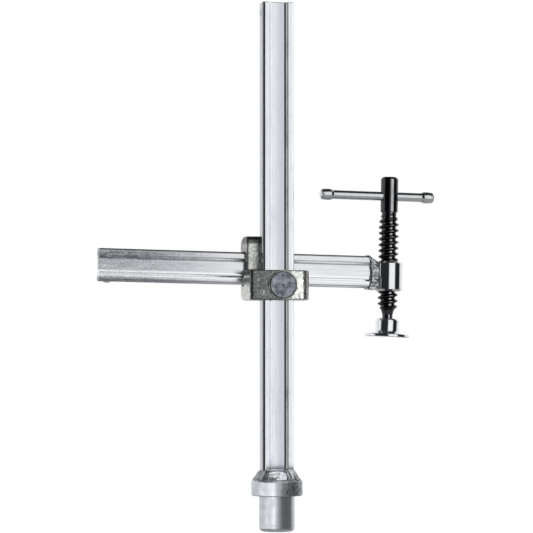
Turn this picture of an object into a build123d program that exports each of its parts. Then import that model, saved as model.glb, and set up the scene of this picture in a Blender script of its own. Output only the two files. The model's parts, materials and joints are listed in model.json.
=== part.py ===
from build123d import *
import os
from math import radians, sin, tan

os.makedirs("parts", exist_ok=True)

# Frame: origin at the centre of the collar's underside, +X towards the screw,
# +Y from the mast to the arm behind it, +Z up the mast. Millimetres and degrees.

# Two corners closer than this are the same corner
TOUCH = 0.01

# Rolled flat rail, used for the mast and for the arm
RAIL_WIDTH = 26.0
RAIL_THICKNESS = 12.5
RAIL_CORNER = 2.6
RAIL_STRIP = 5.25
RAIL_STEP = 2.25
RAIL_RECESS = 1.9
RAIL_WEB_ROUND = 2.6
RAIL_STRIP_ROUND = 1.3
RAIL_END_BREAK = 0.4

# Base: table peg, collar and mast
PEG_DIAMETER = 28.0
PEG_LENGTH = 28.0
PEG_END_ROUND = 3.0
COLLAR_DIAMETER = 40.5
COLLAR_HEIGHT = 11.0
COLLAR_EDGE_ROUND = 0.8
CONE_TOP_DIAMETER = 27.5
MAST_FOOT_Z = 17.5
MAST_TOP_Z = 391.0
BASE_WELD_TOP_Z = 20.4
BASE_WELD_FOOT_Z = 12.0
BASE_WELD_FOOT_DIAMETER = 38.6
BASE_WELD_BELLY_Z = 17.9
BASE_WELD_BELLY_DIAMETER = 30.9
BASE_WELD_CREST_DIAMETER = 27.1
BASE_WELD_BELLY_ROUND = 2.0
BASE_WELD_CREST_ROUND = 1.2

# Domed stop rivets near the free rail ends
STOP_DIAMETER = 7.4
STOP_HEIGHT = 1.1
STOP_SHANK_DIAMETER = 4.0
STOP_SHANK_LENGTH = 6.0
MAST_STOP_Z = 383.5
ARM_STOP_X = -133.0

# Cast slider: a loop round the mast and, behind it, a loop round the arm
LOOP_HEIGHT = 24.0
LOOP_BOTTOM_Z = 154.0
LOOP_HALF_LENGTH = 24.8
LOOP_FRONT_Y = -13.5
LOOP_LEFT_ROUND = 3.0
LOOP_RIGHT_ROUND = 8.5
LOOP_EDGE_ROUND = 0.9
MAST_CLEARANCE = 0.3
MID_WALL_BACK_Y = 12.45
ARM_LOOP_LEFT_X = -23.0
ARM_LOOP_RIGHT_X = 1.5
ARM_LOOP_FRONT_Y = 6.9
ARM_LOOP_BACK_Y = 31.0
ARM_LOOP_TOP_Z = 205.5
ARM_LOOP_BACK_ROUND = 9.5
ARM_LOOP_FRONT_ROUND = 4.5
ARM_LOOP_EDGE_ROUND = 1.6
ARM_SIDE_CLEARANCE = 0.3
ARM_HEIGHT_CLEARANCE = 0.3
HOLE_EDGE_BREAK = 0.6

# Round grip insert in the slider's front wall
STUD_DIAMETER = 20.9
STUD_SEAT_GAP = 0.05
STUD_X = 2.2
STUD_Z = 166.0
STUD_RECESS = 0.5
STUD_MAST_GAP = 0.45
STUD_EDGE_BREAK = 0.5
STUD_SEAT_BREAK = 0.7
PUNCH_DIAMETER = 1.8
PUNCH_DEPTH = 0.7

# Arm: its droop in the loop, and the welded nut sleeve at its end
ARM_Y = 19.0
ARM_Z = 179.3
ARM_DROOP = 1.1
ARM_LEFT_X = -140.0
ARM_RIGHT_X = 84.0
SCREW_X = 97.0
SLEEVE_DIAMETER = 23.3
SLEEVE_HEIGHT = 24.0
SLEEVE_CENTRE_Z = -2.9
SLEEVE_EDGE_BREAK = 1.5
SLEEVE_BORE_DIAMETER = 16.6
SLEEVE_BORE_BREAK = 0.8
WELD_LEFT_X = 78.0
WELD_SLOPE_TOP_X = 79.6
WELD_SLOPE_FOOT_X = 87.4
WELD_COVER = 0.8
WELD_EDGE_COVER = 0.4
WELD_UNDER_COVER = 0.9
WELD_UNDER_X = 83.0
WELD_SLEEVE_FOOT_X = 87.5
WELD_SCOOP_RADIUS = 27.0
WELD_SCOOP_RIGHT_X = 81.4
WELD_SCOOP_Z = -1.0
WELD_HALF_DEPTH = 7.3
WELD_LIP_DEPTH = 6.45
WELD_BELLY_X = 86.0
WELD_SHOULDER_X = 82.0
WELD_SLEEVE_DEPTH = 5.8
WELD_SLEEVE_GAP = 0.2

# Screw, measured up and down from the arm's centre line
HEAD_DIAMETER = 14.1
HEAD_TOP_Z = 77.6
HEAD_BOTTOM_Z = 48.9
HEAD_EDGE_BREAK = 1.5
HEAD_EDGE_ROUND = 0.8
HEAD_FOOT_BREAK = 0.6
HEAD_FOOT_GAP = 0.8
THREAD_DIAMETER = 16.4
THREAD_CORE_DIAMETER = 11.7
THREAD_LEAD = 4.75
THREAD_CREST_WIDTH = 1.1
THREAD_ROOT_WIDTH = 3.7
THREAD_SHOULDER = 0.55
THREAD_CREST_ROUND = 0.35
THREAD_SUNK = 0.3
THREAD_FLANK_SWELL = 0.55
THREAD_BOTTOM_Z = -29.5
THREAD_RUN_IN = 2.4
THREAD_RUN_OUT = 9.0
NECK_TOP_DIAMETER = 10.6
NECK_TOP_Z = -30.0
NECK_DIAMETER = 8.3
NECK_WAIST_Z = -34.0
NECK_WAIST_ROUND = 7.0
BALL_CENTRE_Z = -43.0
BALL_DIAMETER = 11.9
RING_MAJOR_RADIUS = 5.35
RING_WIRE_RADIUS = 0.6
RING_GROOVE_GAP = 0.08
RING_SLOT = 2.0

# Tommy bar through the head
BAR_DIAMETER = 7.3
BAR_HOLE_DIAMETER = 7.5
BAR_Z = 62.0
BAR_LEFT_REACH = 57.8
BAR_RIGHT_REACH = 37.2
CAP_DIAMETER = 9.3
CAP_LENGTH = 10.5
CAP_NECK_LENGTH = 1.9
CAP_NECK_STEP = 0.1
CAP_BELLY_Z = 4.8
CAP_BELLY_DROP = 0.15
CAP_SHOULDER_Z = 8.2
CAP_SHOULDER_DROP = 0.35
CAP_NOSE_Z = 9.9
CAP_NOSE_DROP = 1.0
CAP_FLAT_DROP = 2.3
CAP_SPIGOT_GAP = 1.0
CAP_SPIGOT_DIAMETER = 4.6
CAP_SPIGOT_LENGTH = 6.0

# Swivelling pressure plate on the ball
PLATE_TILT = 1.7
CUP_DIAMETER = 19.2
CUP_TOP_Z = 6.2
CUP_EDGE_ROUND = 2.2
CUP_MOUTH_DIAMETER = 11.2
CUP_THROAT_DIAMETER = 10.2
CUP_MOUTH_DEPTH = 2.0
SOCKET_DIAMETER = 12.06
DISC_DIAMETER = 36.5
DISC_TOP_Z = -6.0
DISC_RIM_DROP = 0.5
DISC_BOTTOM_Z = -9.1
DISC_CROWN = 0.4
DISC_FOOT_ROUND = 2.4
DISC_EDGE_ROUND = 0.7


def rail_section():
    """Outline of the rail: its long side along X, with a shallow recess in both broad faces."""
    half_w = RAIL_WIDTH / 2
    half_t = RAIL_THICKNESS / 2
    step_x = half_w - RAIL_STRIP
    web_x = step_x - RAIL_STEP
    web_y = half_t - RAIL_RECESS
    right = [
        (web_x, web_y),
        (step_x, half_t),
        (half_w, half_t),
        (half_w, -half_t),
        (step_x, -half_t),
        (web_x, -web_y),
    ]
    left = [(-x, y) for x, y in reversed(right)]
    outline = make_face(Polyline(*right, *left, close=True))
    corners = [v for v in outline.vertices() if abs(v.X) > half_w - TOUCH]
    outline = fillet(corners, RAIL_CORNER)
    inner = [v for v in outline.vertices() if abs(v.X) < web_x + TOUCH]
    outline = fillet(inner, RAIL_WEB_ROUND)
    edges = [v for v in outline.vertices() if abs(abs(v.X) - step_x) < TOUCH]
    return fillet(edges, RAIL_STRIP_ROUND)


def rail(length, broken_ends):
    """A length of rail standing on z = 0; the ends named in broken_ends lose their sharp edge."""
    solid = extrude(rail_section(), length)
    for end in broken_ends:
        face = solid.faces().sort_by(Axis.Z)[end]
        solid = chamfer(face.edges(), RAIL_END_BREAK)
    return solid


def turned(points, rounds):
    """Solid of revolution about Z from (radius, height) points, with a radius at the listed points."""
    face = make_face(Polyline(*points, close=True))
    for index, radius in rounds.items():
        x, y = points[index]
        corner = face.vertices().sort_by_distance((x, y, 0))[0]
        face = fillet(corner, radius)
    return revolve(Plane.XZ * face, Axis.Z)


def rounded_plate(points, rounds, depth):
    """A prism from outline points in the XY plane, with a radius at the listed points."""
    face = make_face(Polyline(*points, close=True))
    for index, radius in rounds.items():
        x, y = points[index]
        corner = face.vertices().sort_by_distance((x, y, 0))[0]
        face = fillet(corner, radius)
    return extrude(face, depth)


def stop_rivet():
    """A domed rivet along +Z whose shank is sunk in the rail below z = 0."""
    dome_radius = (STOP_DIAMETER**2 / 4 + STOP_HEIGHT**2) / (2 * STOP_HEIGHT)
    dome = Pos(0, 0, STOP_HEIGHT - dome_radius) * Sphere(dome_radius)
    cap = dome & (Pos(0, 0, STOP_HEIGHT / 2) * Cylinder(STOP_DIAMETER, STOP_HEIGHT))
    shank = Pos(0, 0, -STOP_SHANK_LENGTH / 2) * Cylinder(STOP_SHANK_DIAMETER / 2, STOP_SHANK_LENGTH)
    return cap + shank


def stop_hole():
    """The blind hole that takes a stop rivet's shank."""
    return Pos(0, 0, -STOP_SHANK_LENGTH / 2) * Cylinder(STOP_SHANK_DIAMETER / 2, STOP_SHANK_LENGTH)


def base_peg():
    """Peg, collar and cone turned in one piece."""
    peg_r = PEG_DIAMETER / 2
    collar_r = COLLAR_DIAMETER / 2
    points = [
        (0, -PEG_LENGTH),
        (peg_r, -PEG_LENGTH),
        (peg_r, 0),
        (collar_r, 0),
        (collar_r, COLLAR_HEIGHT),
        (CONE_TOP_DIAMETER / 2, MAST_FOOT_Z),
        (0, MAST_FOOT_Z),
    ]
    return turned(points, {1: PEG_END_ROUND, 3: COLLAR_EDGE_ROUND, 4: COLLAR_EDGE_ROUND})


def base_weld(mast, base):
    """Weld bead that fills the ledge between the cone and the mast's foot."""
    foot_r = BASE_WELD_FOOT_DIAMETER / 2
    profile = [
        (0, COLLAR_HEIGHT),
        (foot_r, COLLAR_HEIGHT),
        (foot_r, BASE_WELD_FOOT_Z),
        (BASE_WELD_BELLY_DIAMETER / 2, BASE_WELD_BELLY_Z),
        (BASE_WELD_CREST_DIAMETER / 2, BASE_WELD_TOP_Z),
        (0, BASE_WELD_TOP_Z),
    ]
    mound = turned(profile, {3: BASE_WELD_BELLY_ROUND, 4: BASE_WELD_CREST_ROUND})
    return mound - mast - base


def slider_casting():
    """Both loops in one casting, with the two rail openings and the seat of the grip insert."""
    front = rounded_plate(
        [
            (-LOOP_HALF_LENGTH, LOOP_FRONT_Y),
            (LOOP_HALF_LENGTH, LOOP_FRONT_Y),
            (LOOP_HALF_LENGTH, MID_WALL_BACK_Y),
            (-LOOP_HALF_LENGTH, MID_WALL_BACK_Y),
        ],
        {0: LOOP_LEFT_ROUND, 1: LOOP_RIGHT_ROUND, 2: LOOP_RIGHT_ROUND, 3: LOOP_LEFT_ROUND},
        LOOP_HEIGHT,
    )
    rims = front.faces().sort_by(Axis.Z)
    front = fillet(rims[0].edges() + rims[-1].edges(), LOOP_EDGE_ROUND)
    front = Pos(0, 0, LOOP_BOTTOM_Z) * front
    rear = rounded_plate(
        [
            (ARM_LOOP_FRONT_Y, LOOP_BOTTOM_Z),
            (ARM_LOOP_BACK_Y, LOOP_BOTTOM_Z),
            (ARM_LOOP_BACK_Y, ARM_LOOP_TOP_Z),
            (ARM_LOOP_FRONT_Y, ARM_LOOP_TOP_Z),
        ],
        {1: ARM_LOOP_BACK_ROUND, 2: ARM_LOOP_BACK_ROUND, 3: ARM_LOOP_FRONT_ROUND},
        ARM_LOOP_RIGHT_X - ARM_LOOP_LEFT_X,
    )
    ends = rear.faces().sort_by(Axis.Z)
    rear = fillet(ends[0].edges() + ends[-1].edges(), ARM_LOOP_EDGE_ROUND)
    rear = Plane.YZ.offset(ARM_LOOP_LEFT_X) * rear
    body = front + rear
    mast_gap = 2 * MAST_CLEARANCE
    mast_hole = Box(RAIL_WIDTH + mast_gap, RAIL_THICKNESS + mast_gap, 2 * LOOP_HEIGHT)
    mast_hole = fillet(mast_hole.edges().filter_by(Axis.Z), RAIL_CORNER)
    mast_hole = Pos(0, 0, LOOP_BOTTOM_Z + LOOP_HEIGHT / 2) * mast_hole
    arm_loop_width = ARM_LOOP_RIGHT_X - ARM_LOOP_LEFT_X
    arm_hole_height = RAIL_WIDTH + 2 * ARM_HEIGHT_CLEARANCE + arm_loop_width * sin(radians(ARM_DROOP))
    arm_hole = Box(3 * arm_loop_width, RAIL_THICKNESS + 2 * ARM_SIDE_CLEARANCE, arm_hole_height)
    arm_hole = fillet(arm_hole.edges().filter_by(Axis.X), RAIL_CORNER)
    arm_loop_centre_x = (ARM_LOOP_RIGHT_X + ARM_LOOP_LEFT_X) / 2
    arm_loop_centre_z = ARM_Z - arm_loop_centre_x * tan(radians(ARM_DROOP))
    arm_hole = Pos(arm_loop_centre_x, ARM_Y, arm_loop_centre_z) * arm_hole
    seat_r = STUD_DIAMETER / 2 + STUD_SEAT_GAP
    seat_depth = -LOOP_FRONT_Y - RAIL_THICKNESS / 2
    seat = Pos(0, 0, -seat_depth / 2) * Cylinder(seat_r, seat_depth)
    mouth = Pos(0, 0, -STUD_SEAT_BREAK / 2) * Cone(seat_r, seat_r + STUD_SEAT_BREAK, STUD_SEAT_BREAK)
    seat = Pos(STUD_X, LOOP_FRONT_Y, STUD_Z) * Rot(90, 0, 0) * (seat + mouth)
    return body - mast_hole - arm_hole - seat


def grip_stud():
    """Round insert with a broken edge and a punch mark, its face just below the casting's."""
    radius = STUD_DIAMETER / 2
    front_y = LOOP_FRONT_Y + STUD_RECESS
    back_y = -RAIL_THICKNESS / 2 - STUD_MAST_GAP
    length = back_y - front_y
    profile = [
        (0, 0),
        (radius, 0),
        (radius, length - STUD_EDGE_BREAK),
        (radius - STUD_EDGE_BREAK, length),
        (PUNCH_DIAMETER / 2, length),
        (0, length - PUNCH_DEPTH),
    ]
    return Pos(STUD_X, back_y, STUD_Z) * Rot(90, 0, 0) * turned(profile, {})


def nut_sleeve():
    """Plain turned sleeve that stands for the tapped nut at the arm's end."""
    outer = SLEEVE_DIAMETER / 2
    bore = SLEEVE_BORE_DIAMETER / 2
    half = SLEEVE_HEIGHT / 2
    profile = [
        (bore + SLEEVE_BORE_BREAK, -half),
        (outer - SLEEVE_EDGE_BREAK, -half),
        (outer, -half + SLEEVE_EDGE_BREAK),
        (outer, half - SLEEVE_EDGE_BREAK),
        (outer - SLEEVE_EDGE_BREAK, half),
        (bore + SLEEVE_BORE_BREAK, half),
        (bore, half - SLEEVE_BORE_BREAK),
        (bore, -half + SLEEVE_BORE_BREAK),
    ]
    return Pos(SCREW_X, 0, SLEEVE_CENTRE_Z) * turned(profile, {})


def arm_end_bevel():
    """Prism above the sloped cut at the arm's upper right corner, where the weld runs down."""
    sleeve_top = SLEEVE_CENTRE_Z + SLEEVE_HEIGHT / 2 - SLEEVE_EDGE_BREAK
    side = Polyline(
        (WELD_SLOPE_TOP_X, RAIL_WIDTH / 2),
        (WELD_SLOPE_FOOT_X, sleeve_top - WELD_COVER),
        (WELD_SLOPE_FOOT_X, RAIL_WIDTH),
        (WELD_SLOPE_TOP_X, RAIL_WIDTH),
        close=True,
    )
    return extrude(Plane.XZ * make_face(side), RAIL_THICKNESS, both=True)


def sleeve_weld(arm, sleeve):
    """Weld round the arm's end: sloped top, scooped left edge, flaring towards the sleeve."""
    sleeve_top = SLEEVE_CENTRE_Z + SLEEVE_HEIGHT / 2 - SLEEVE_EDGE_BREAK
    sleeve_bottom = SLEEVE_CENTRE_Z - SLEEVE_HEIGHT / 2 + SLEEVE_EDGE_BREAK
    side = Polyline(
        (WELD_LEFT_X, RAIL_WIDTH / 2 + WELD_EDGE_COVER),
        (WELD_SLOPE_TOP_X, RAIL_WIDTH / 2 + WELD_COVER),
        (WELD_SLOPE_FOOT_X, sleeve_top + WELD_COVER),
        (SCREW_X, sleeve_top + WELD_COVER),
        (SCREW_X, sleeve_bottom),
        (WELD_SLEEVE_FOOT_X, sleeve_bottom),
        (WELD_UNDER_X, -RAIL_WIDTH / 2 - WELD_UNDER_COVER),
        (WELD_LEFT_X, -RAIL_WIDTH / 2 - WELD_EDGE_COVER),
        close=True,
    )
    block = extrude(Plane.XZ * make_face(side), RAIL_THICKNESS, both=True)
    scoop_x = WELD_SCOOP_RIGHT_X - WELD_SCOOP_RADIUS
    scoop = Cylinder(WELD_SCOOP_RADIUS, 2 * RAIL_WIDTH)
    scoop = Pos(scoop_x, 0, WELD_SCOOP_Z) * Rot(90, 0, 0) * scoop
    upper = Spline(
        (WELD_LEFT_X - WELD_EDGE_COVER, WELD_LIP_DEPTH),
        (WELD_SHOULDER_X, WELD_LIP_DEPTH + WELD_COVER),
        (WELD_BELLY_X, WELD_HALF_DEPTH),
        (SCREW_X, WELD_SLEEVE_DEPTH),
    )
    lower = mirror(upper, Plane.XZ)
    outline = make_face([upper, lower, Line(upper @ 0, lower @ 0), Line(upper @ 1, lower @ 1)])
    plan = Pos(0, 0, -RAIL_WIDTH) * extrude(outline, 2 * RAIL_WIDTH)
    core = Pos(SCREW_X, 0, 0) * Cylinder(SLEEVE_DIAMETER / 2 - WELD_SLEEVE_GAP, 2 * RAIL_WIDTH)
    return (block & plan) - scoop - core - sleeve - arm


def screw():
    """Head, threaded shank, tapered neck and ball end in one turned piece."""
    core_r = THREAD_CORE_DIAMETER / 2
    crest_r = THREAD_DIAMETER / 2
    head_r = HEAD_DIAMETER / 2
    shank = turned(
        [
            (0, BALL_CENTRE_Z),
            (NECK_DIAMETER / 2, BALL_CENTRE_Z),
            (NECK_DIAMETER / 2, NECK_WAIST_Z),
            (NECK_TOP_DIAMETER / 2, NECK_TOP_Z),
            (core_r, THREAD_BOTTOM_Z),
            (core_r, HEAD_BOTTOM_Z),
            (head_r - HEAD_FOOT_BREAK, HEAD_BOTTOM_Z),
            (head_r, HEAD_BOTTOM_Z + HEAD_FOOT_BREAK),
            (head_r, HEAD_TOP_Z - HEAD_EDGE_BREAK),
            (head_r - HEAD_EDGE_BREAK, HEAD_TOP_Z),
            (0, HEAD_TOP_Z),
        ],
        {2: NECK_WAIST_ROUND, 8: HEAD_EDGE_ROUND},
    )
    shank = shank + Pos(0, 0, BALL_CENTRE_Z) * Sphere(BALL_DIAMETER / 2)
    groove = Torus(RING_MAJOR_RADIUS, RING_WIRE_RADIUS + RING_GROOVE_GAP)
    shank = shank - Pos(0, 0, BALL_CENTRE_Z) * groove
    cross_hole = Pos(0, 0, BAR_Z) * Rot(0, 90, 0) * Cylinder(BAR_HOLE_DIAMETER / 2, 2 * HEAD_DIAMETER)
    shank = shank - cross_hole
    turns_height = HEAD_BOTTOM_Z - THREAD_BOTTOM_Z
    root_r = core_r - THREAD_SUNK
    path = Helix(THREAD_LEAD, turns_height + THREAD_LEAD, root_r)
    ridge_depth = crest_r - root_r
    half_root = THREAD_ROOT_WIDTH / 2
    half_crest = THREAD_CREST_WIDTH / 2
    flank = [
        (0, half_root),
        (ridge_depth * THREAD_SHOULDER, half_crest + THREAD_FLANK_SWELL),
        (ridge_depth - THREAD_CREST_ROUND / 2, half_crest),
        (ridge_depth, half_crest - THREAD_CREST_ROUND),
    ]
    mirrored = [(depth, -height) for depth, height in reversed(flank)]
    section = Polyline(*flank, *mirrored, close=True)
    start = Plane(origin=path @ 0, x_dir=(1, 0, 0), z_dir=path % 0)
    ridge = sweep(start * make_face(section), path=path, is_frenet=True)
    ridge = Pos(0, 0, THREAD_BOTTOM_Z - THREAD_LEAD / 2) * ridge
    envelope = turned(
        [
            (0, THREAD_BOTTOM_Z),
            (core_r, THREAD_BOTTOM_Z),
            (crest_r, THREAD_BOTTOM_Z + THREAD_RUN_IN),
            (crest_r, HEAD_BOTTOM_Z - THREAD_RUN_OUT),
            (core_r, HEAD_BOTTOM_Z - HEAD_FOOT_GAP),
            (0, HEAD_BOTTOM_Z - HEAD_FOOT_GAP),
        ],
        {},
    )
    return Pos(SCREW_X, 0, 0) * (shank + (ridge & envelope))


def snap_ring():
    """Split spring ring in the groove round the ball."""
    ring = Torus(RING_MAJOR_RADIUS, RING_WIRE_RADIUS)
    slot = Pos(0, -RING_MAJOR_RADIUS, 0) * Box(RING_SLOT, RING_MAJOR_RADIUS, RING_MAJOR_RADIUS)
    return Pos(SCREW_X, 0, BALL_CENTRE_Z) * (ring - slot)


def tommy_bar():
    """Round bar with a blind hole in each end for the caps' spigots."""
    left = -BAR_LEFT_REACH + CAP_LENGTH
    right = BAR_RIGHT_REACH - CAP_LENGTH
    bar = Cylinder(BAR_DIAMETER / 2, right - left)
    for end in (-1, 1):
        hole = Cylinder(CAP_SPIGOT_DIAMETER / 2, CAP_SPIGOT_LENGTH)
        bar = bar - Pos(0, 0, end * ((right - left) / 2 - CAP_SPIGOT_LENGTH / 2)) * hole
    return Pos(SCREW_X + (left + right) / 2, 0, BAR_Z) * Rot(0, 90, 0) * bar


def tommy_cap():
    """Barrel-shaped end cap standing on its open side, with the spigot below z = 0."""
    cap_r = CAP_DIAMETER / 2
    mouth = (BAR_DIAMETER / 2 + CAP_NECK_STEP, 0)
    neck = (cap_r - CAP_BELLY_DROP, CAP_NECK_LENGTH)
    shoulder = (cap_r - CAP_SHOULDER_DROP, CAP_SHOULDER_Z)
    rim = (cap_r - CAP_FLAT_DROP, CAP_LENGTH)
    barrel = [
        Line((0, 0), mouth),
        Line(mouth, neck),
        ThreePointArc(neck, (cap_r, CAP_BELLY_Z), shoulder),
        ThreePointArc(shoulder, (cap_r - CAP_NOSE_DROP, CAP_NOSE_Z), rim),
        Line(rim, (0, CAP_LENGTH)),
        Line((0, CAP_LENGTH), (0, 0)),
    ]
    cap = revolve(Plane.XZ * make_face(barrel), Axis.Z)
    spigot_length = CAP_SPIGOT_LENGTH - CAP_SPIGOT_GAP
    spigot = Pos(0, 0, -spigot_length / 2) * Cylinder(CAP_SPIGOT_DIAMETER / 2, spigot_length)
    return cap + spigot


def pressure_plate():
    """Disc and cup in one piece with a spherical socket, standing about the ball's centre."""
    cup_r = CUP_DIAMETER / 2
    disc_r = DISC_DIAMETER / 2
    solid = turned(
        [
            (0, DISC_BOTTOM_Z),
            (disc_r, DISC_BOTTOM_Z),
            (disc_r, DISC_TOP_Z - DISC_RIM_DROP),
            (cup_r, DISC_TOP_Z + DISC_CROWN),
            (cup_r, CUP_TOP_Z),
            (0, CUP_TOP_Z),
        ],
        {1: DISC_EDGE_ROUND, 2: DISC_EDGE_ROUND, 3: DISC_FOOT_ROUND, 4: CUP_EDGE_ROUND},
    )
    throat_r = CUP_THROAT_DIAMETER / 2
    mouth = Cone(throat_r, CUP_MOUTH_DIAMETER / 2, CUP_MOUTH_DEPTH)
    mouth = Pos(0, 0, CUP_TOP_Z - CUP_MOUTH_DEPTH / 2) * mouth
    throat = Pos(0, 0, CUP_TOP_Z / 2) * Cylinder(throat_r, CUP_TOP_Z)
    return solid - Sphere(SOCKET_DIAMETER / 2) - throat - mouth


mast_full = Pos(0, 0, MAST_FOOT_Z) * rail(MAST_TOP_Z - MAST_FOOT_Z, [-1])
mast_stop_place = Pos(-RAIL_WIDTH / 2, 0, MAST_STOP_Z) * Rot(0, -90, 0)
mast_rail = mast_full - mast_stop_place * stop_hole()
peg = base_peg()

arm_place = Pos(0, ARM_Y, ARM_Z) * Rot(0, ARM_DROOP, 0)
arm_bar = Pos(ARM_LEFT_X, 0, 0) * Rot(0, 90, 0) * rail(ARM_RIGHT_X - ARM_LEFT_X, [0])
arm_stop_place = Pos(ARM_STOP_X, 0, -RAIL_WIDTH / 2) * Rot(180, 0, 0)
sleeve_clear = Pos(SCREW_X, 0, 0) * Cylinder(SLEEVE_DIAMETER / 2, 100)
arm_bar = arm_bar - sleeve_clear - arm_end_bevel()
arm_rail = arm_bar - arm_stop_place * stop_hole()
sleeve = nut_sleeve()

ball_place = Pos(SCREW_X, 0, BALL_CENTRE_Z)
left_cap_place = Pos(SCREW_X - BAR_LEFT_REACH + CAP_LENGTH, 0, BAR_Z) * Rot(0, -90, 0)
right_cap_place = Pos(SCREW_X + BAR_RIGHT_REACH - CAP_LENGTH, 0, BAR_Z) * Rot(0, 90, 0)

pieces = {
    "mast_rail": mast_rail,
    "base_peg": peg,
    "base_weld": base_weld(mast_full, peg),
    "mast_stop_rivet": mast_stop_place * stop_rivet(),
    "slider_casting": slider_casting(),
    "slider_grip_stud": grip_stud(),
    "arm_rail": arm_place * arm_rail,
    "arm_stop_rivet": arm_place * arm_stop_place * stop_rivet(),
    "nut_sleeve": arm_place * sleeve,
    "sleeve_weld": arm_place * sleeve_weld(arm_bar, sleeve),
    "clamp_screw": arm_place * screw(),
    "ball_snap_ring": arm_place * snap_ring(),
    "tommy_bar": arm_place * tommy_bar(),
    "tommy_cap_left": arm_place * left_cap_place * tommy_cap(),
    "tommy_cap_right": arm_place * right_cap_place * tommy_cap(),
    "pressure_plate": arm_place * ball_place * Rot(0, PLATE_TILT, 0) * pressure_plate(),
}

for node, shape in pieces.items():
    export_step(shape, f"parts/{node}.step")
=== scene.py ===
"""Looks for the adjustable table clamp: finishes for its frame, its rough pieces, and a small studio."""

import json
import logging
import math
from dataclasses import dataclass, field
from enum import Enum
from typing import Any, Callable

import bmesh
import bpy
from mathutils import Matrix, Vector, noise

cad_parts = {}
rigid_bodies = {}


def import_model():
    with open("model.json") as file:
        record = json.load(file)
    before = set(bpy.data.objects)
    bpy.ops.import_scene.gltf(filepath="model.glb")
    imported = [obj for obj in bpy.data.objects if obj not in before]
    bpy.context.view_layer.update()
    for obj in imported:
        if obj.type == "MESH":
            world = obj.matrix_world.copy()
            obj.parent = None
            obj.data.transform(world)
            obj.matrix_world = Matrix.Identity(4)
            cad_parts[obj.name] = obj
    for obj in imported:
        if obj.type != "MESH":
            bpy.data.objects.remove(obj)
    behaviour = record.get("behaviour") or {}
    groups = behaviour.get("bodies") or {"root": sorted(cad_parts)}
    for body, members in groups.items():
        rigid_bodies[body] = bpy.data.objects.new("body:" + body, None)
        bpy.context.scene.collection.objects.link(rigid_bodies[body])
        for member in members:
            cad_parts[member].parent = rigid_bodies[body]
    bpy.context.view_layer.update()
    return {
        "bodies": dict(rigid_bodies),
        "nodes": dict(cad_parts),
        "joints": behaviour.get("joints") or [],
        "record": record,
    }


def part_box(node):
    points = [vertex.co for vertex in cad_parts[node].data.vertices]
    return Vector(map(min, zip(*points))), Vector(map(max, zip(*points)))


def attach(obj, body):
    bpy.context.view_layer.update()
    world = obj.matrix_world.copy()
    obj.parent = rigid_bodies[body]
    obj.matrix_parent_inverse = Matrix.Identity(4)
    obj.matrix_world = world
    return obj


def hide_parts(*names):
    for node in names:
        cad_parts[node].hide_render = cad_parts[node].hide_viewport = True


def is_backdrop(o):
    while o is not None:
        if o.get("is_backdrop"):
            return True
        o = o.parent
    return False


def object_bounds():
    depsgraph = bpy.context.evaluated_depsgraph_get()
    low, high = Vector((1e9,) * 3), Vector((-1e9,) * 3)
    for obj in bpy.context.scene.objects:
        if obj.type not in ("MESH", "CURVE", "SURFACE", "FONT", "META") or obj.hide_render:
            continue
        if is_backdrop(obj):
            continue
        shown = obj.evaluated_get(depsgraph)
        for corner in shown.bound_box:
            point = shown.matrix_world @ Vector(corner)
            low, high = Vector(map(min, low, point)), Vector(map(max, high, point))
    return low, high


LOG = logging.getLogger("table_clamp")
MM = 0.001
MERGE_DISTANCE = 1e-6
SMOOTH_ROUNDS = 4
SMOOTH_SHARE = 0.5
Triple = tuple[float, float, float]
Stops = tuple[tuple[float, float], ...]


class Slot(Enum):
    """Material slots of the record."""

    RAIL = "zinc_rail"
    TURNED = "zinc_turned"
    WELD = "zinc_weld"
    CASTING = "zinc_casting"
    STUD = "hardened_stud"
    BRIGHT = "bright_zinc"
    BLACK = "black_oxide"
    BAR = "satin_steel"
    SPRING = "spring_steel"


def linear(code: str) -> tuple[float, float, float, float]:
    """Turn an sRGB hex colour into linear red, green, blue and a full alpha.

    Args:
        code: Six hex digits after a hash sign.

    Returns:
        The linear colour.
    """
    parts = [int(code[i : i + 2], 16) / 255 for i in (1, 3, 5)]
    red, green, blue = (c / 12.92 if c <= 0.04045 else ((c + 0.055) / 1.055) ** 2.4 for c in parts)
    return red, green, blue, 1.0


def add_node(
    tree: bpy.types.NodeTree,
    kind: str,
    inputs: dict[str | int, Any] | None = None,
    **settings: Any,
) -> bpy.types.Node:
    """Add one node, set its properties, and fill or link its sockets.

    Args:
        tree: The node tree that gets the node.
        kind: The node's type name.
        inputs: Sockets by name or number, each with its value or with the output that feeds it.
        settings: The node's properties; stops is a list of place and grey pairs for a colour ramp.

    Returns:
        The new node.
    """
    node = tree.nodes.new(kind)
    for name, value in settings.items():
        if name == "stops":
            ramp = node.color_ramp.elements
            while len(ramp) < len(value):
                ramp.new(1.0)
            for element, (place, grey) in zip(ramp, value):
                element.position = place
                element.color = (grey, grey, grey, 1.0)
        else:
            setattr(node, name, value)
    for key, value in (inputs or {}).items():
        if isinstance(value, bpy.types.NodeSocket):
            tree.links.new(value, node.inputs[key])
        else:
            node.inputs[key].default_value = value
    return node


@dataclass(frozen=True)
class Band:
    """Where a grain sets in along one of a piece's axes: none before start, full past end, in mm.

    The axis is 0, 1 or 2 for X, Y or Z. End may lie below start, for a grain that sets in downwards.
    With both_sides, the distance from the middle counts instead of the place.
    """

    axis: int
    start: float
    end: float
    both_sides: bool = False


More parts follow.
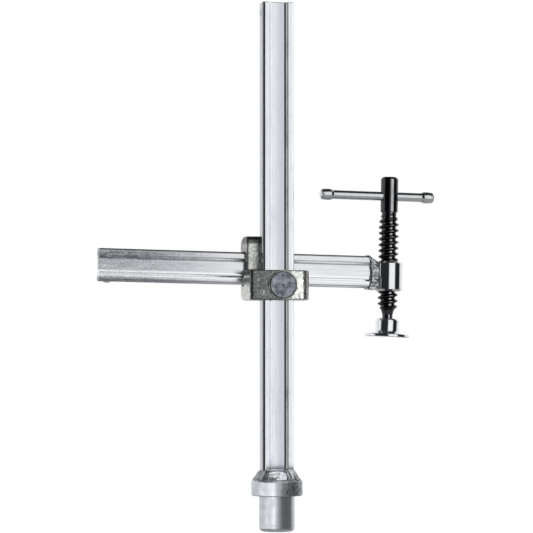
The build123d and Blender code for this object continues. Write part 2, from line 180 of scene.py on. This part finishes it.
@dataclass(frozen=True)
class Grain:
    """One pattern over a finish: how large it is, and what it does to colour, gloss and relief.

    Size is the pattern's repeat in mm along the piece's own X, Y and Z. Share is how much of the tone
    is mixed in where the pattern is strongest, gloss is added to the roughness there, and relief is
    its height in mm. Low and high are where the noise starts and stops to count, so close values
    make crisp spots. The pattern shows only where all of its bands let it.
    """

    size: Triple
    tone: str
    share: float
    gloss: float = 0.0
    relief: float = 0.0
    low: float = 0.35
    high: float = 0.65
    detail: float = 3.0
    bands: tuple[Band, ...] = ()


@dataclass(frozen=True)
class Finish:
    """A metal finish: its plain values, and the grains laid over them one after another.

    Centre, in mm, and turn, in degrees, lay the grains' axes along a piece that isn't at the origin
    or isn't upright.
    """

    name: str
    slot: Slot
    colour: str
    roughness: float
    metallic: float = 1.0
    centre: Triple = (0.0, 0.0, 0.0)
    turn: Triple = (0.0, 0.0, 0.0)
    grains: tuple[Grain, ...] = ()

    def mask(self, tree: bpy.types.NodeTree, place: bpy.types.Node, grain: Grain) -> bpy.types.NodeSocket:
        """Make the 0 to 1 strength of one grain over the surface.

        Args:
            tree: The material's nodes.
            place: The mapping that gives the piece's own coordinates.
            grain: The grain to draw.

        Returns:
            The output that carries the strength.
        """
        scale = tuple(1.0 / (MM * s) for s in grain.size)
        spread = add_node(tree, "ShaderNodeMapping", {"Vector": place.outputs[0], "Scale": scale})
        drawn = {"Vector": spread.outputs[0], "Scale": 1.0, "Detail": grain.detail}
        clouds = add_node(tree, "ShaderNodeTexNoise", drawn)
        ranged = {"Value": clouds.outputs[0], "From Min": grain.low, "From Max": grain.high}
        strength = add_node(tree, "ShaderNodeMapRange", ranged).outputs[0]
        for band in grain.bands:
            parts = add_node(tree, "ShaderNodeSeparateXYZ", {0: place.outputs[0]})
            along = parts.outputs[band.axis]
            if band.both_sides:
                along = add_node(tree, "ShaderNodeMath", {0: along}, operation="ABSOLUTE").outputs[0]
            limits = {"Value": along, "From Min": MM * band.start, "From Max": MM * band.end}
            keep = add_node(tree, "ShaderNodeMapRange", limits, interpolation_type="SMOOTHSTEP")
            held = {0: strength, 1: keep.outputs[0]}
            strength = add_node(tree, "ShaderNodeMath", held, operation="MULTIPLY").outputs[0]
        return strength

    def material(self) -> bpy.types.Material:
        """Build the material, with every grain's colour, gloss and relief.

        Returns:
            The finished material.
        """
        material = bpy.data.materials.new(self.name)
        material.use_nodes = True
        tree = material.node_tree
        tree.nodes.clear()
        coordinates = add_node(tree, "ShaderNodeTexCoord")
        turn = tuple(math.radians(a) for a in self.turn)
        shift = Vector(self.centre) * MM
        back = Matrix.Rotation(turn[1], 3, "Y") @ -shift
        settled = {"Vector": coordinates.outputs["Object"], "Location": back, "Rotation": turn}
        place = add_node(tree, "ShaderNodeMapping", settled)
        shader = add_node(
            tree,
            "ShaderNodeBsdfPrincipled",
            {"Metallic": self.metallic, "Roughness": self.roughness},
        )
        colour, gloss, normal = None, None, None
        for grain in self.grains:
            strength = self.mask(tree, place, grain)
            if grain.share:
                weighted = {0: strength, 1: grain.share}
                factor = add_node(tree, "ShaderNodeMath", weighted, operation="MULTIPLY").outputs[0]
                under = linear(self.colour) if colour is None else colour
                mixed = {0: factor, 6: under, 7: linear(grain.tone)}
                colour = add_node(tree, "ShaderNodeMix", mixed, data_type="RGBA").outputs[2]
            if grain.gloss:
                added = {0: strength, 1: grain.gloss, 2: self.roughness if gloss is None else gloss}
                gloss = add_node(tree, "ShaderNodeMath", added, operation="MULTIPLY_ADD").outputs[0]
            if grain.relief:
                raised = {"Height": strength, "Distance": MM * grain.relief, "Strength": 1.0}
                if normal is not None:
                    raised["Normal"] = normal
                normal = add_node(tree, "ShaderNodeBump", raised).outputs[0]
        shader.inputs["Base Color"].default_value = linear(self.colour)
        for socket, made in (("Base Color", colour), ("Roughness", gloss), ("Normal", normal)):
            if made is not None:
                tree.links.new(made, shader.inputs[socket])
        add_node(tree, "ShaderNodeOutputMaterial", {"Surface": shader.outputs[0]})
        return material


# Cold-drawn steel, bright zinc plated: a pale mirror blurred by fine lines along the draw.
# Such lines are typically 0.1 mm wide and are drawn about 1 mm wide so that they show.
MAST_ZINC = Finish(
    "drawn_steel_bright_zinc_mast",
    Slot.RAIL,
    "#dfe2e6",
    0.12,
    grains=(
        Grain((1.3, 4.0, 90.0), "#c6cad2", 0.4, 0.03, 0.006),
        Grain((0.7, 2.0, 22.0), "#eceef0", 0.5, -0.03, 0.003),
        Grain((9.0, 9.0, 14.0), "#b4bac2", 0.25, 0.05, low=0.5, high=0.75),
        # painted shade: the recess is painted darker towards its right side
        Grain(
            (9.0, 9.0, 40.0),
            "#b4b9c4",
            0.7,
            low=0.0,
            high=0.3,
            bands=(Band(0, -4.5, 3.5), Band(0, 6.0, 5.5)),
        ),
        # painted shade: narrow sides painted darker than the broad faces; also a little rougher
        Grain(
            (9.0, 5.0, 40.0),
            "#9ba0a8",
            0.7,
            0.05,
            low=0.0,
            high=0.3,
            bands=(Band(0, 12.8, 12.98, both_sides=True),),
        ),
    ),
)
# The same rail lying level, with its lines drawn as coarse. Its plating is frosted to the left,
# where it turns grey and granular.
ARM_ZINC = Finish(
    "drawn_steel_bright_zinc_arm",
    Slot.RAIL,
    "#e0e2e6",
    0.2,
    centre=(0.0, 19.0, 179.3),
    turn=(0.0, -1.1, 0.0),
    grains=(
        Grain((90.0, 4.0, 1.3), "#c6cad2", 0.5, 0.05, 0.008),
        Grain((22.0, 2.0, 0.7), "#f0f1f2", 0.5, -0.03, 0.003),
        # frost, and the cloudier patches in it
        Grain(
            (1.1, 1.1, 0.9),
            "#83888f",
            0.85,
            0.25,
            0.012,
            low=0.25,
            high=0.75,
            bands=(Band(0, 0.0, -125.0),),
        ),
        Grain((14.0, 5.0, 3.0), "#a9adb4", 0.35, 0.1, bands=(Band(0, -20.0, -110.0),)),
        # stains over the upper step
        Grain(
            (5.0, 2.0, 1.1),
            "#565c66",
            0.7,
            0.1,
            low=0.3,
            high=0.6,
            bands=(Band(0, -35.0, -125.0), Band(2, 4.0, 5.5), Band(2, 12.0, 9.5)),
        ),
        # stains along the lower edge
        Grain(
            (7.0, 2.0, 1.5),
            "#747a83",
            0.6,
            0.1,
            low=0.2,
            high=0.5,
            bands=(Band(0, -10.0, -100.0), Band(2, -9.5, -11.5)),
        ),
        # painted highlight: the lower step is painted lighter, and it is glossier
        Grain(
            (30.0, 2.0, 1.0),
            "#f4f5f6",
            0.8,
            -0.12,
            low=0.0,
            high=0.3,
            bands=(Band(2, -3.2, -4.6), Band(2, -9.4, -8.2)),
        ),
        # painted shade: the upper edge is painted dark
        Grain(
            (30.0, 2.0, 1.0),
            "#30343a",
            0.85,
            0.05,
            low=0.0,
            high=0.3,
            bands=(Band(2, 11.4, 12.3),),
        ),
    ),
)
# Turned steel, dull zinc plated: satin, with faint rings from the tool; the collar's right half is
# darker and rough. Such rings are typically 0.2 mm apart and are drawn 0.9 mm apart to show.
PEG_ZINC = Finish(
    "turned_steel_satin_zinc",
    Slot.TURNED,
    "#cfd2d7",
    0.34,
    grains=(
        Grain((30.0, 30.0, 0.9), "#b6bac1", 0.4, 0.04, 0.006),
        Grain(
            (1.6, 1.6, 1.4),
            "#5f646d",
            0.8,
            0.08,
            0.14,
            low=0.4,
            high=0.6,
            bands=(Band(2, -0.6, 0.6), Band(0, -3.0, 4.0)),
        ),
        Grain((4.0, 4.0, 6.0), "#a8adb6", 0.35, 0.08, low=0.45, high=0.7),
    ),
)
# Gas-shielded weld metal under zinc: pale frozen ripples with dull pits between them, and darker
# round the rail's narrow sides.
FOOT_WELD_ZINC = Finish(
    "steel_weld_bead_zinc_foot",
    Slot.WELD,
    "#cdd0d5",
    0.24,
    grains=(
        Grain((3.4, 3.4, 2.8), "#8a9098", 0.5, 0.12, 0.08, low=0.45, high=0.65),
        Grain(
            (2.2, 2.2, 2.2),
            "#3c4047",
            0.85,
            0.1,
            low=0.1,
            high=0.45,
            bands=(Band(0, 9.0, 12.5, both_sides=True),),
        ),
        Grain((1.3, 1.3, 1.3), "#eceef0", 0.4, -0.05, 0.02),
    ),
)
# The same weld metal at the sleeve: glossier, with larger dark hollows.
SLEEVE_WELD_ZINC = Finish(
    "steel_weld_bead_zinc_sleeve",
    Slot.WELD,
    "#b4b8be",
    0.12,
    grains=(
        Grain((4.0, 4.0, 2.2), "#43474d", 0.85, 0.1, 0.14, low=0.4, high=0.6),
        Grain((1.3, 1.3, 1.3), "#eceef0", 0.3, -0.03, 0.02),
    ),
)
# Sand-cast steel, tumbled and zinc plated: a soft grey skin, pitted and mottled.
CAST_ZINC = Finish(
    "cast_steel_zinc_skin",
    Slot.CASTING,
    "#dadbd6",
    0.26,
    grains=(
        Grain((1.8, 1.8, 1.8), "#959b9a", 0.55, 0.1, 0.035, low=0.38, high=0.62),
        # painted shade: the front wall is painted dark, most of all to its left
        Grain(
            (3.0, 9.0, 9.0),
            "#3a4040",
            0.85,
            0.06,
            low=0.15,
            high=0.4,
            bands=(Band(1, -11.0, -12.6), Band(0, 12.0, -6.0)),
        ),
        Grain((1.2, 1.2, 1.2), "#b9beb8", 0.45, -0.04, 0.02, low=0.52, high=0.68),
        Grain((7.0, 9.0, 12.0), "#4b5152", 0.4, 0.04, 0.03, low=0.5, high=0.75),
        # painted shade: the rear loop's top and the upper part of its left end are painted dark
        Grain((6.0, 9.0, 9.0), "#33393a", 0.8, 0.04, low=0.1, high=0.35, bands=(Band(2, 198.5, 200.5),)),
        Grain(
            (5.0, 9.0, 6.0),
            "#3a3f40",
            0.8,
            low=0.1,
            high=0.35,
            bands=(Band(2, 171.0, 178.0), Band(0, -21.5, -23.5)),
        ),
    ),
)
# Hardened tool steel with a thin blue scale: darker than the casting, swirled by the quench.
STUD_STEEL = Finish(
    "quenched_tool_steel",
    Slot.STUD,
    "#a0a5ae",
    0.32,
    grains=(
        Grain((4.5, 4.5, 4.5), "#3f444f", 0.8, 0.08, 0.04, low=0.35, high=0.65),
        Grain((1.5, 1.5, 1.5), "#9ba0aa", 0.5, 0.0, 0.02, low=0.5, high=0.7),
    ),
)
# Polished turned steel with a bright zinc: a near mirror with faint tool rings, which are typically
# 0.2 mm apart and are drawn 1.1 mm apart so that they show.
BRIGHT_ZINC = Finish(
    "polished_steel_bright_zinc",
    Slot.BRIGHT,
    "#e9ebee",
    0.06,
    grains=(
        Grain((20.0, 20.0, 1.1), "#dadde2", 0.6, 0.02, 0.002),
        Grain((3.0, 3.0, 3.0), "#c4c8ce", 0.4, 0.06, low=0.55, high=0.75),
    ),
)
# Rolled thread, blackened and oiled: almost black, with a sharp oily shine.
BLACK_OXIDE = Finish(
    "black_oxide_oiled_steel",
    Slot.BLACK,
    "#4e4f51",
    0.13,
    grains=(
        Grain((3.5, 3.5, 5.0), "#38393b", 0.5, 0.03, 0.001, low=0.35, high=0.6),
        Grain((1.2, 1.2, 5.0), "#5a5c5f", 0.4, 0.02, low=0.55, high=0.75),
    ),
)
# Centreless ground bar steel under satin zinc: faint scratches round the bar. They are typically
# under 0.1 mm wide and are drawn over 2 mm wide so that they show.
BAR_STEEL = Finish(
    "centreless_ground_bar_steel",
    Slot.BAR,
    "#d6d8da",
    0.14,
    grains=(
        Grain((2.4, 20.0, 20.0), "#b6b9be", 0.3, 0.03, 0.001),
        Grain((9.0, 3.0, 3.0), "#9da0a5", 0.25, 0.05, low=0.5, high=0.75),
    ),
)
# Hard-drawn spring wire, oiled: dark grey with a soft shine.
SPRING_STEEL = Finish(
    "hard_drawn_spring_wire",
    Slot.SPRING,
    "#6f7276",
    0.3,
    grains=(Grain((1.0, 1.0, 1.0), "#45484c", 0.6, 0.1, 0.01),),
)


def shade(obj: bpy.types.Object, finish: Finish) -> None:
    """Give an object one finish over all of its material slots."""
    material = finish.material()
    if not obj.material_slots:
        obj.data.materials.append(material)
    for slot in obj.material_slots:
        slot.material = material


def roughened(
    source: bpy.types.Object,
    name: str,
    voxel: float,
    lump: Callable[[Vector], float],
) -> bpy.types.Object:
    """Make an even, softened copy of a frame node and push its skin in and out.

    Args:
        source: The frame node to copy.
        name: The new piece's name.
        voxel: The size of the new mesh's cells, in metres.
        lump: Gives how far a point moves along its normal, in metres.

    Returns:
        The new piece, at the origin.
    """
    mesh = source.data.copy()
    shape = bmesh.new()
    shape.from_mesh(mesh)
    bmesh.ops.remove_doubles(shape, verts=shape.verts, dist=MERGE_DISTANCE)
    shape.to_mesh(mesh)
    shape.free()
    mesh.materials.clear()
    piece = bpy.data.objects.new(name, mesh)
    bpy.context.scene.collection.objects.link(piece)
    cells = piece.modifiers.new("cells", "REMESH")
    cells.mode = "VOXEL"
    cells.voxel_size = voxel
    even = bpy.data.meshes.new_from_object(piece.evaluated_get(bpy.context.evaluated_depsgraph_get()))
    piece.modifiers.clear()
    shape = bmesh.new()
    shape.from_mesh(even)
    for _ in range(SMOOTH_ROUNDS):
        bmesh.ops.smooth_vert(
            shape,
            verts=shape.verts,
            factor=SMOOTH_SHARE,
            use_axis_x=True,
            use_axis_y=True,
            use_axis_z=True,
        )
    shape.normal_update()
    moves = [vert.normal * lump(vert.co) for vert in shape.verts]
    for vert, move in zip(shape.verts, moves):
        vert.co += move
    bmesh.ops.recalc_face_normals(shape, faces=shape.faces)
    for face in shape.faces:
        face.smooth = True
    shape.to_mesh(even)
    shape.free()
    piece.data = even
    even.name = name
    return piece


@dataclass
class SubAssembly:
    """A group of frame nodes that move together, and the pieces that stand for some of them."""

    frame: dict[str, Any]

    def finish_nodes(self, finishes: dict[str, Finish]) -> None:
        """Dress frame nodes in their finishes.

        Args:
            finishes: The finish of each node by name.
        """
        for name, finish in finishes.items():
            shade(self.frame["nodes"][name], finish)
            LOG.info("%s: %s", name, finish.name)

    def stand_in(self, piece: bpy.types.Object, node: str, body: str, finish: Finish) -> None:
        """Let a new piece ride on a body in place of a frame node.

        Args:
            piece: The new piece.
            node: The frame node that it hides.
            body: The body that it moves with.
            finish: Its finish.
        """
        shade(piece, finish)
        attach(piece, body)
        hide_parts(node)
        LOG.info("%s: %s, %d faces", piece.name, finish.name, len(piece.data.polygons))


@dataclass
class Mast(SubAssembly):
    """The upright rail on its peg, with the weld bead round its foot. Sizes are in mm."""

    bead_cell: float = 0.45
    bead_radius: float = 15.0
    ripple: float = 4.2
    ripple_height: float = 0.22
    wander: float = 2.0
    wander_size: float = 4.0
    lump_size: float = 8.0
    lump_height: float = 1.0
    crest_fade: float = 2.5
    bead_top: float = field(init=False)

    def __post_init__(self) -> None:
        """Look up how high the weld may reach."""
        self.bead_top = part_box("base_weld")[1].z

    def bead_skin(self, point: Vector) -> float:
        """How far the weld's skin stands proud at a point, in metres; nothing at its crest."""
        angle = math.atan2(point.y, point.x)
        along = angle * self.bead_radius / self.ripple
        shift = self.wander * noise.noise(point / (self.wander_size * MM))
        wave = math.sin(along * 2.0 * math.pi + shift)
        lumps = noise.noise(point / (self.lump_size * MM))
        fade = min(1.0, max(0.0, (self.bead_top - point.z) / (self.crest_fade * MM)))
        return MM * fade * (self.ripple_height * wave * 0.5 + self.lump_height * lumps)

    def build(self) -> None:
        """Dress the rail, peg and rivet, and lay the weld bead."""
        self.finish_nodes({"mast_rail": MAST_ZINC, "base_peg": PEG_ZINC, "mast_stop_rivet": PEG_ZINC})
        weld = self.frame["nodes"]["base_weld"]
        bead = roughened(weld, "foot_weld_bead", self.bead_cell * MM, self.bead_skin)
        self.stand_in(bead, "base_weld", "mast", FOOT_WELD_ZINC)


@dataclass
class Slider(SubAssembly):
    """The cast double loop and its grip stud. Sizes are in mm."""

    skin_cell: float = 0.6
    dent_size: float = 9.0
    dent_depth: float = 0.28
    pit_size: float = 2.6
    pit_depth: float = 0.10
    seat_reach: float = 1.3
    seat_swell: float = 0.35
    stud: tuple[Vector, Vector] = field(init=False)

    def __post_init__(self) -> None:
        """Look up where the stud is."""
        self.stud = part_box("slider_grip_stud")

    def skin(self, point: Vector) -> float:
        """How far the cast skin moves out at a point, in metres; it only rises where it grips the stud."""
        low, high = self.stud
        off_axis = math.hypot(point.x - (low.x + high.x) / 2, point.z - (low.z + high.z) / 2)
        if point.y < (low.y + high.y) / 2 and off_axis < (high.x - low.x) / 2 + MM * self.seat_reach:
            return MM * self.seat_swell
        dent = 0.5 + 0.5 * noise.noise(point / (self.dent_size * MM))
        pit = max(0.0, noise.noise(point / (self.pit_size * MM)))
        return -MM * (self.dent_depth * dent + self.pit_depth * pit)

    def build(self) -> None:
        """Dress the stud, and make the casting with its softened, uneven skin."""
        self.finish_nodes({"slider_grip_stud": STUD_STEEL})
        loops = self.frame["nodes"]["slider_casting"]
        casting = roughened(loops, "cast_double_loop", self.skin_cell * MM, self.skin)
        self.stand_in(casting, "slider_casting", "slider", CAST_ZINC)


@dataclass
class Arm(SubAssembly):
    """The cross rail with the threaded sleeve welded to its end. Sizes are in mm."""

    bead_cell: float = 0.4
    lump_size: float = 6.0
    lump_height: float = 1.1
    ripple: float = 3.4
    ripple_height: float = 0.22
    wander: float = 3.0
    wander_size: float = 5.0

    def bead_skin(self, point: Vector) -> float:
        """How far the weld's skin stands proud at a point, in metres."""
        shift = self.wander * noise.noise(point / (self.wander_size * MM))
        wave = math.sin(point.z / (self.ripple * MM) * 2.0 * math.pi + shift)
        lumps = noise.noise(point / (self.lump_size * MM))
        return MM * (self.ripple_height * wave * 0.5 + self.lump_height * lumps)

    def build(self) -> None:
        """Dress the rail, sleeve and rivet, and lay the weld bead."""
        self.finish_nodes({"arm_rail": ARM_ZINC, "arm_stop_rivet": PEG_ZINC, "nut_sleeve": BRIGHT_ZINC})
        weld = self.frame["nodes"]["sleeve_weld"]
        bead = roughened(weld, "sleeve_weld_bead", self.bead_cell * MM, self.bead_skin)
        self.stand_in(bead, "sleeve_weld", "arm", SLEEVE_WELD_ZINC)


@dataclass
class Spindle(SubAssembly):
    """The screw, its snap ring, its tommy bar and the swivelling pressure plate."""

    def build(self) -> None:
        """Dress every node of the spindle."""
        self.finish_nodes(
            {
                "clamp_screw": BLACK_OXIDE,
                "ball_snap_ring": SPRING_STEEL,
                "tommy_bar": BAR_STEEL,
                "tommy_cap_left": BAR_STEEL,
                "tommy_cap_right": BAR_STEEL,
                "pressure_plate": BRIGHT_ZINC,
            }
        )


@dataclass(frozen=True)
class Card:
    """A curved dark card seen only in reflections.

    Start and end are bearings in degrees to the camera's right, and the other sizes are in metres.
    """

    name: str
    node: str
    start: float
    end: float
    distance: float
    low: float
    high: float


@dataclass(frozen=True)
class Lamp:
    """A flat soft light that shines on chosen pieces only.

    The bearing is in degrees to the camera's right and the rise in degrees above level, both seen
    from the point that it is aimed at, which is a height on the axis of a node. Sizes are in metres.
    The glow is the light's brightness, where the tent's walls have 1.
    """

    name: str
    node: str
    aim_height: float
    bearing: float
    rise: float
    distance: float
    width: float
    height: float
    glow: float
    lit: tuple[str, ...]


FOOT_LIT = ("base_peg", "foot_weld_bead")
# Every piece but the mast's rail, whose corners mirror a dark gap where the others see a left wall.
SIDE_LIT = (
    "base_peg",
    "foot_weld_bead",
    "mast_stop_rivet",
    "cast_double_loop",
    "slider_grip_stud",
    "arm_rail",
    "arm_stop_rivet",
    "nut_sleeve",
    "sleeve_weld_bead",
    "clamp_screw",
    "ball_snap_ring",
    "tommy_bar",
    "tommy_cap_left",
    "tommy_cap_right",
    "pressure_plate",
)


@dataclass
class Studio:
    """Camera, surroundings, floor, lamps and a reflection card. Sizes are in metres and degrees.

    The tent's walls are pairs of a bearing to the camera's right and a grey. The belt says at which
    height above level the walls show, and the ends give the greys below and above them.
    """

    azimuth: float = -13.0
    distance: float = 1.9
    camera_height: float = 0.105
    aim_height: float = 0.181
    aim_left: float = 0.0082
    lens: float = 162.0
    sensor: float = 36.0
    floor_radius: float = 30.0
    floor_sides: int = 64
    floor_roughness: float = 0.9
    floor_glow: float = 0.72
    card_steps: int = 16
    flag_grey: float = 0.14
    walls: Stops = (
        (-180, 1.0),
        (-104, 0.98),
        (-94, 0.025),
        (2, 0.025),
        (11, 1.06),
        (50, 1.06),
        (58, 0.02),
        (98, 0.02),
        (108, 0.95),
        (180, 1.0),
    )
    belt: Stops = ((-26, 0), (-12, 1), (40, 1), (50, 0))
    ends: Stops = ((-20, 0.42), (20, 0.04))
    cards: tuple[Card, ...] = (Card("foot_flag", "base_peg", 16.0, 104.0, 0.075, -0.06, 0.02),)
    lamps: tuple[Lamp, ...] = (
        # name, node, aim height, bearing, rise, distance, width, height, glow, lit pieces
        Lamp("strip_light", "clamp_screw", 0.195, 38.5, 0, 0.3, 0.18, 0.27, 5.2, ("clamp_screw",)),
        Lamp("corner_light", "slider_casting", 0.17, 40, 0, 0.3, 0.12, 0.1, 1.8, ("cast_double_loop",)),
        Lamp("foot_light", "base_peg", 0.0, -38, 0, 0.25, 0.34, 0.2, 1.15, ("base_peg",)),
        Lamp("foot_edge_light", "base_peg", 0.0, -17, 0, 0.25, 0.1, 0.2, 1.0, ("base_peg",)),
        Lamp("bead_light", "base_peg", 0.018, 10, 62, 0.25, 0.3, 0.16, 1.3, FOOT_LIT),
        Lamp("step_light", "mast_rail", 0.2, 80, 0, 0.35, 0.3, 0.8, 1.35, ("mast_rail",)),
        Lamp("flank_light", "mast_rail", 0.2, -54, 0, 0.4, 0.045, 0.8, 0.6, ("mast_rail",)),
        Lamp("top_light", "arm_rail", 0.18, 13, 75, 0.3, 0.6, 0.15, 0.95, ("arm_rail",)),
        Lamp("under_light", "arm_rail", 0.18, 13, -78, 0.15, 0.6, 0.025, 1.0, ("arm_rail",)),
        Lamp("left_wall", "mast_rail", 0.2, -81, 6, 2.0, 1.15, 2.2, 1.0, SIDE_LIT),
    )

    def axes(self) -> tuple[Vector, Vector]:
        """Directions from the object to the camera, and to the camera's right, both level."""
        turn = math.radians(self.azimuth)
        return Vector((math.sin(turn), -math.cos(turn), 0)), Vector((math.cos(turn), math.sin(turn), 0))

    def camera(self) -> None:
        """Place the camera in front of the mast and a little to its left."""
        back, right = self.axes()
        low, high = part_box("mast_rail")
        axis = (Vector(low) + Vector(high)) / 2
        aim = Vector((axis.x, axis.y, 0)) - right * self.aim_left
        data = bpy.data.cameras.new("studio_camera")
        data.lens = self.lens
        data.sensor_width = self.sensor
        camera = bpy.data.objects.new("studio_camera", data)
        bpy.context.scene.collection.objects.link(camera)
        camera.location = aim + back * self.distance + Vector((0, 0, self.camera_height))
        target = aim + Vector((0, 0, self.aim_height))
        camera.rotation_euler = (target - camera.location).to_track_quat("-Z", "Y").to_euler()
        bpy.context.scene.camera = camera

    def surroundings(self) -> None:
        """Set up a pale tent with a dark front, one bright panel in it, and a dark ceiling."""
        world = bpy.data.worlds.new("light_tent")
        bpy.context.scene.world = world
        world.use_nodes = True
        tree = world.node_tree
        tree.nodes.clear()
        coordinates = add_node(tree, "ShaderNodeTexCoord")
        to_camera = (0.0, 0.0, -math.radians(self.azimuth))
        turned = {"Vector": coordinates.outputs["Generated"], "Rotation": to_camera}
        facing = add_node(tree, "ShaderNodeMapping", turned)
        parts = add_node(tree, "ShaderNodeSeparateXYZ", {0: facing.outputs[0]})
        ahead = add_node(tree, "ShaderNodeMath", {0: parts.outputs[1], 1: -1.0}, operation="MULTIPLY")
        sides = {0: parts.outputs[0], 1: ahead.outputs[0]}
        angle = add_node(tree, "ShaderNodeMath", sides, operation="ARCTAN2")
        share = {0: angle.outputs[0], 1: 0.5 / math.pi, 2: 0.5}
        bearing = add_node(tree, "ShaderNodeMath", share, operation="MULTIPLY_ADD")
        wall = add_node(
            tree,
            "ShaderNodeValToRGB",
            {0: bearing.outputs[0]},
            stops=[(degrees / 360 + 0.5, grey) for degrees, grey in self.walls],
        )
        height = add_node(tree, "ShaderNodeMath", {0: parts.outputs[2]}, operation="ARCSINE")
        raised = {0: height.outputs[0], 1: 1.0 / math.pi, 2: 0.5}
        rise = add_node(tree, "ShaderNodeMath", raised, operation="MULTIPLY_ADD")
        belt = add_node(
            tree,
            "ShaderNodeValToRGB",
            {0: rise.outputs[0]},
            stops=[(degrees / 180 + 0.5, grey) for degrees, grey in self.belt],
        )
        ends = add_node(
            tree,
            "ShaderNodeValToRGB",
            {0: rise.outputs[0]},
            stops=[(degrees / 180 + 0.5, grey) for degrees, grey in self.ends],
        )
        mixed = {0: belt.outputs[0], 6: ends.outputs[0], 7: wall.outputs[0]}
        tent = add_node(tree, "ShaderNodeMix", mixed, data_type="RGBA")
        path = add_node(tree, "ShaderNodeLightPath")
        seen = {0: path.outputs["Is Camera Ray"], 6: tent.outputs[2], 7: (1.0, 1.0, 1.0, 1.0)}
        shown = add_node(tree, "ShaderNodeMix", seen, data_type="RGBA")
        light = add_node(tree, "ShaderNodeBackground", {"Color": shown.outputs[2], "Strength": 1.0})
        add_node(tree, "ShaderNodeOutputWorld", {"Surface": light.outputs[0]})

    def floor(self) -> None:
        """Lay a plain white floor under the peg; reflections look past it."""
        low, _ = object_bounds()
        shape = bmesh.new()
        bmesh.ops.create_circle(shape, cap_ends=True, radius=self.floor_radius, segments=self.floor_sides)
        bmesh.ops.translate(shape, verts=shape.verts, vec=(0, 0, low.z))
        mesh = bpy.data.meshes.new("floor")
        shape.to_mesh(mesh)
        shape.free()
        floor = bpy.data.objects.new("floor", mesh)
        bpy.context.scene.collection.objects.link(floor)
        material = bpy.data.materials.new("matt_white_paper")
        material.use_nodes = True
        tree = material.node_tree
        tree.nodes.clear()
        paper = add_node(
            tree,
            "ShaderNodeBsdfPrincipled",
            {
                "Base Color": linear("#f4f4f4"),
                "Roughness": self.floor_roughness,
                "Emission Color": (1.0, 1.0, 1.0, 1.0),
                "Emission Strength": self.floor_glow,
            },
        )
        add_node(tree, "ShaderNodeOutputMaterial", {"Surface": paper.outputs[0]})
        mesh.materials.append(material)
        floor.visible_glossy = False
        floor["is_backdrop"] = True

    def hang(self, card: Card) -> None:
        """Bend one card round the node it serves.

        Args:
            card: The card to hang.
        """
        low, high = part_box(card.node)
        centre = (Vector(low) + Vector(high)) / 2
        back, _ = self.axes()
        first = Matrix.Rotation(math.radians(card.start), 3, "Z") @ back * card.distance
        shape = bmesh.new()
        foot = shape.verts.new((centre.x + first.x, centre.y + first.y, card.low))
        head = shape.verts.new((centre.x + first.x, centre.y + first.y, card.high))
        edge = shape.edges.new((foot, head))
        bmesh.ops.spin(
            shape,
            geom=[foot, head, edge],
            cent=centre,
            axis=(0, 0, 1),
            angle=math.radians(card.end - card.start),
            steps=self.card_steps,
        )
        mesh = bpy.data.meshes.new(card.name)
        shape.to_mesh(mesh)
        shape.free()
        wall = bpy.data.objects.new(card.name, mesh)
        bpy.context.scene.collection.objects.link(wall)
        material = bpy.data.materials.new(card.name)
        material.use_nodes = True
        tree = material.node_tree
        tree.nodes.clear()
        felt = add_node(tree, "ShaderNodeEmission", {"Strength": self.flag_grey})
        add_node(tree, "ShaderNodeOutputMaterial", {"Surface": felt.outputs[0]})
        mesh.materials.append(material)
        wall.visible_camera = False
        wall.visible_diffuse = False
        wall.visible_shadow = False
        wall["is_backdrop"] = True

    def light(self, lamp: Lamp) -> None:
        """Stand one lamp facing the node that it is aimed at.

        Args:
            lamp: The lamp to stand.
        """
        low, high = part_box(lamp.node)
        centre = (Vector(low) + Vector(high)) / 2
        centre.z = lamp.aim_height
        back, _ = self.axes()
        level = Matrix.Rotation(math.radians(lamp.bearing), 3, "Z") @ back
        rise = math.radians(lamp.rise)
        out = level * math.cos(rise) + Vector((0, 0, math.sin(rise)))
        data = bpy.data.lights.new(lamp.name, "AREA")
        data.shape = "RECTANGLE"
        data.size = lamp.width
        data.size_y = lamp.height
        data.energy = lamp.glow * math.pi * data.size * data.size_y
        stand = bpy.data.objects.new(lamp.name, data)
        bpy.context.scene.collection.objects.link(stand)
        stand.location = centre + out * lamp.distance
        stand.rotation_euler = out.to_track_quat("Z", "Y").to_euler()
        stand.visible_camera = False
        receivers = bpy.data.collections.new(lamp.name)
        for name in lamp.lit:
            receivers.objects.link(bpy.data.objects[name])
        stand.light_linking.receiver_collection = receivers

    def build(self) -> None:
        """Set up the whole studio."""
        self.surroundings()
        self.floor()
        for card in self.cards:
            self.hang(card)
        for lamp in self.lamps:
            self.light(lamp)
        self.camera()
        bpy.context.scene.view_settings.view_transform = "Standard"
        LOG.info("studio: %d cards and %d lamps", len(self.cards), len(self.lamps))


def main() -> None:
    """Load the frame, dress its sub-assemblies, and set up the studio."""
    logging.basicConfig(level=logging.INFO, format="%(name)s: %(message)s")
    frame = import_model()
    for assembly in (Mast, Slider, Arm, Spindle):
        assembly(frame).build()
    Studio().build()


if __name__ == "__main__":
    main()
